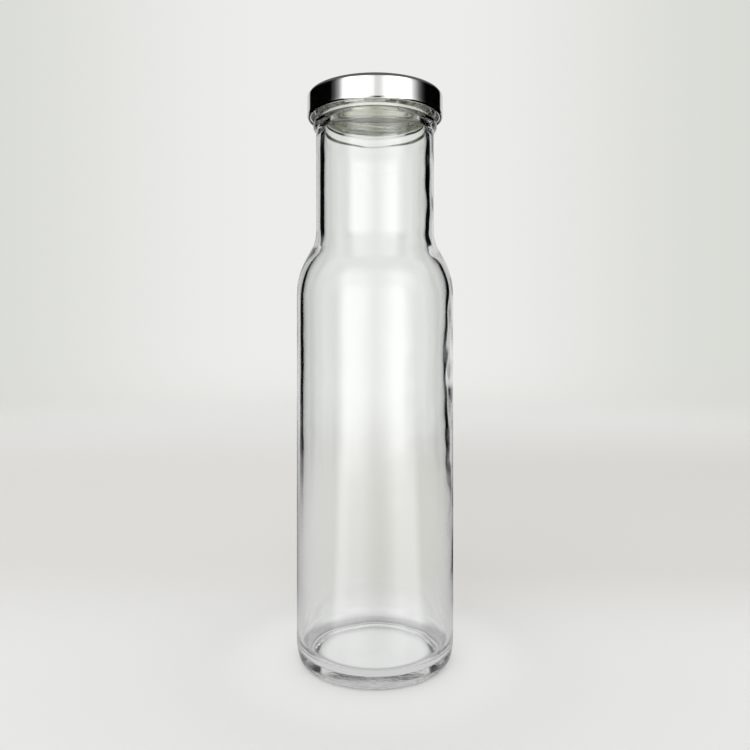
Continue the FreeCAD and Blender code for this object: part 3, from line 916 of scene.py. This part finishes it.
def mix_number(graph, factor, low, high):
    node = graph.add("ShaderNodeMix", {"Factor": factor, "A": low, "B": high}, data_type="FLOAT")
    return node.outputs["Result"]


def mix_colour(graph, factor, low, high):
    low, high = (value if isinstance(value, bpy.types.NodeSocket) else (*value, 1.0) for value in (low, high))
    node = graph.add("ShaderNodeMix", {"Factor": factor, "A": low, "B": high}, data_type="RGBA")
    return node.outputs["Result"]


def grey(graph, value):
    return graph.add("ShaderNodeCombineColor", {0: value, 1: value, 2: value}).outputs[0]


def make_floor(studio, room):
    """A pale floor that fades out into the backdrop."""
    half = studio.floor_radius * 1.1
    mesh = bpy.data.meshes.new("floor")
    corners = [(-half, -half, 0), (half, -half, 0), (half, half, 0), (-half, half, 0)]
    mesh.from_pydata(corners, [], [(0, 1, 2, 3)])
    mesh.materials.append(floor_material(studio, room))
    floor = bpy.data.objects.new("floor", mesh)
    bpy.context.scene.collection.objects.link(floor)


def floor_material(studio, room):
    """Matt paint for the camera, with painted shade in a band behind the bottle, deeper on its right, and a
    painted pool of light round its foot. In glass and metal it glows instead, with painted reflections of
    what the room shows and painted light and shade under the base.
    """
    material, graph, shader = new_material("floor_paint")
    place = graph.add("ShaderNodeTexCoord").outputs["Object"]
    spot = graph.add("ShaderNodeSeparateXYZ", {0: place}).outputs
    distance = graph.add("ShaderNodeVectorMath", {0: place}, operation="LENGTH").outputs["Value"]
    # Painted shade: the floor turns darker in a band behind the bottle, more so on its right.
    behind = graph.math("MULTIPLY", graph.rise(spot["Y"], -0.01, 0.11), graph.fall(spot["Y"], 0.25, 0.75))
    more_on_right = graph.math("MULTIPLY_ADD", graph.rise(spot["X"], -0.06, 0.05), 0.35, 0.75)
    painted_shade_share = graph.math("MULTIPLY", behind, more_on_right)
    graph.feed(shader.inputs["Base Color"], mix_colour(graph, painted_shade_share, studio.floor, studio.shade))
    # Painted pool of light: an even glow painted on the floor round the bottle's foot.
    painted_pool_of_light = graph.math("MULTIPLY", graph.fall(distance, 28 * MM, 60 * MM), studio.painted_pool_of_light)
    graph.feed(shader.inputs["Emission Color"], grey(graph, painted_pool_of_light))
    shader.inputs["Emission Strength"].default_value = 1.0
    shader.inputs["Roughness"].default_value = 0.7
    shader.inputs["Specular IOR Level"].default_value = 0.2

    # Rays off a face or through the glass see a painted glow instead of the lit paint.
    mirror, entered, scattered = path_kinds(graph)[:3]
    straight = graph.math("MULTIPLY", graph.fall(distance, 35 * MM, 80 * MM), graph.math(
        "SUBTRACT", entered, mirror))
    seen = painted_floor_reflection(graph, spot, distance, room, entered)
    shown = mix_number(graph, mirror, painted_light_under_base(graph, distance), seen)
    painted_glow = graph.add("ShaderNodeEmission", {"Color": grey(graph, shown)}).outputs[0]
    special = graph.math("MULTIPLY", graph.math("MAXIMUM", mirror, straight), graph.math(
        "SUBTRACT", 1.0, scattered))
    lit = graph.add("ShaderNodeMixShader", {0: special, 1: shader.outputs[0], 2: painted_glow}).outputs[0]

    # The fade is dithered, so that the floor counts as either there or not at each point.
    speck = graph.add("ShaderNodeTexWhiteNoise", {"Vector": place}, noise_dimensions="3D").outputs["Value"]
    faded = graph.rise(distance, studio.floor_radius * 0.3, studio.floor_radius)
    gone = graph.math("GREATER_THAN", faded, speck)
    clear = graph.add("ShaderNodeBsdfTransparent").outputs[0]
    mixed = graph.add("ShaderNodeMixShader", {0: gone, 1: lit, 2: clear}).outputs[0]
    graph.feed(material.node_tree.nodes["Material Output"].inputs["Surface"], mixed)
    return material


def painted_floor_reflection(graph, spot, distance, room, entered):
    """Painted reflection in a face that mirrors the floor: an even painted glow near the bottle, and the room
    and its windows painted on further out.
    """
    turn = graph.math("DIVIDE", graph.math("ARCTAN2", spot["X"], spot["Y"]), math.pi)
    around = graph.add("ShaderNodeGroup", {"Turn": turn}, node_tree=room).outputs
    # Painted reflection of the windows on the floor, further out.
    windows = graph.math("MAXIMUM", graph.math("MULTIPLY_ADD", around["Mirrored"], 1.6, -1.5), 0.0)
    mirrored = mix_number(graph, graph.rise(distance, 0.03, 0.09), 0.5, windows)
    inside = mix_number(graph, graph.rise(distance, 0.12, 0.5), 0.62, around["Inside"])
    return mix_number(graph, entered, mirrored, inside)


def painted_light_under_base(graph, distance):
    """Painted light straight through the base: a painted glow under the push-up and round the foot, with a
    painted darker ring of shade where the bottle stands.
    """
    painted_glow_under_push_up, painted_shade_ring, painted_glow_round_foot = 0.76, 0.4, 0.74
    # Painted glow under the push-up, and a painted shade ring under the bearing ring.
    seen = mix_number(graph, graph.rise(distance, 16 * MM, 22 * MM), painted_glow_under_push_up, painted_shade_ring)
    return mix_number(graph, graph.rise(distance, 25 * MM, 32 * MM), seen, painted_glow_round_foot)


def make_surroundings(scene, studio, room):
    """Even light for matt surfaces, a pale backdrop for the camera and for what is seen through the glass,
    and for faces that mirror, a room with dark sides and two tall windows in front."""
    world = bpy.data.worlds.new("studio_room")
    scene.world = world
    world.use_nodes = True
    graph = Graph(world.node_tree)
    toward = graph.add("ShaderNodeTexCoord").outputs["Generated"]
    part = graph.add("ShaderNodeSeparateXYZ", {0: toward}).outputs
    climb = part["Z"]
    turn = graph.math("DIVIDE", graph.math("ARCTAN2", part["X"], part["Y"]), math.pi)
    side = graph.rise(graph.math("ABSOLUTE", graph.math("ADD", turn, 0.008)), 0.04, 0.17)
    backdrop = mix_colour(graph, side, studio.backdrop, studio.corners)
    # Below the horizon the backdrop takes the floor's painted shade colour.
    backdrop = mix_colour(graph, graph.rise(climb, -0.2, -0.02), studio.shade, backdrop)
    through = mix_colour(graph, side, studio.backdrop, studio.seen_corners)

    around = graph.add("ShaderNodeGroup", {"Turn": turn}, node_tree=room).outputs
    mirror, entered, scattered, spent = path_kinds(graph)
    dark_ceiling, pale_ceiling = 0.12, 0.6
    mirrored = mix_number(graph, graph.rise(climb, 0.38, 0.66), around["Mirrored"], dark_ceiling)
    inside = mix_number(graph, graph.rise(climb, 0.62, 0.8), around["Inside"], pale_ceiling)
    near_level = graph.fall(graph.math("ABSOLUTE", climb), 0.3, 0.4)
    kept = graph.math("MULTIPLY_ADD", graph.math("MULTIPLY", spent, near_level), -0.95, 1.0)
    shown = mix_number(graph, entered, mirrored, graph.math("MULTIPLY", inside, kept))
    light = mix_colour(graph, entered, backdrop, through)
    light = mix_colour(graph, mirror, light, grey(graph, shown))
    light = mix_colour(graph, scattered, light, (studio.level,) * 3)
    graph.feed(world.node_tree.nodes["Background"].inputs["Color"], light)


def make_lamp(scene, studio):
    """A wide soft lamp above the camera and a little to its left, which gives the bottle its shadow."""
    lamp = bpy.data.lights.new("soft_lamp", "AREA")
    lamp.size = studio.lamp_size
    lamp.energy = studio.lamp_power
    light = bpy.data.objects.new("soft_lamp", lamp)
    light.location = (-0.2, -0.78, 0.95)
    light.rotation_euler = (math.radians(40), 0.0, math.radians(-15))
    light.visible_glossy = False
    light.visible_transmission = False
    scene.collection.objects.link(light)


def make_camera(scene, studio):
    """A level camera in front of the bottle."""
    camera = bpy.data.cameras.new("camera")
    camera.lens = studio.lens
    camera.shift_y = studio.shift
    camera.clip_start = 10 * MM
    viewer = bpy.data.objects.new("camera", camera)
    viewer.location = (0.0, -studio.camera_distance, studio.camera_height)
    viewer.rotation_euler = (math.radians(90), 0.0, 0.0)
    scene.collection.objects.link(viewer)
    scene.camera = viewer


# ---------------------------------------------------------------- panel and registration


class BOTTLE_PT_panel(Panel):
    bl_label = "Lug-capped Bottle"
    bl_idname = "BOTTLE_PT_panel"
    bl_space_type = "VIEW_3D"
    bl_region_type = "UI"
    bl_category = "Bottle"

    def draw(self, context):
        for operator in (BOTTLE_OT_glass, BOTTLE_OT_cap, BOTTLE_OT_ring, BOTTLE_OT_stage):
            self.layout.operator(operator.bl_idname)


GROUPS = {
    "bottle_glass": GlassSizes,
    "bottle_ramps": RampSizes,
    "bottle_cap": CapSizes,
    "bottle_ring": RingSizes,
    "bottle_finishes": Finishes,
    "bottle_studio": StudioSettings,
}
CLASSES = (
    *GROUPS.values(), BOTTLE_OT_glass, BOTTLE_OT_cap, BOTTLE_OT_ring, BOTTLE_OT_stage, BOTTLE_PT_panel,
)


def register():
    for item in CLASSES:
        bpy.utils.register_class(item)
    for name, group in GROUPS.items():
        setattr(bpy.types.Scene, name, PointerProperty(type=group))


def unregister():
    for name in GROUPS:
        delattr(bpy.types.Scene, name)
    for item in reversed(CLASSES):
        bpy.utils.unregister_class(item)


def main():
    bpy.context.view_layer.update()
    register()
    bpy.ops.bottle.glass()
    bpy.ops.bottle.cap()
    bpy.ops.bottle.ring()
    bpy.ops.bottle.stage()


if __name__ == "__main__":
    main()
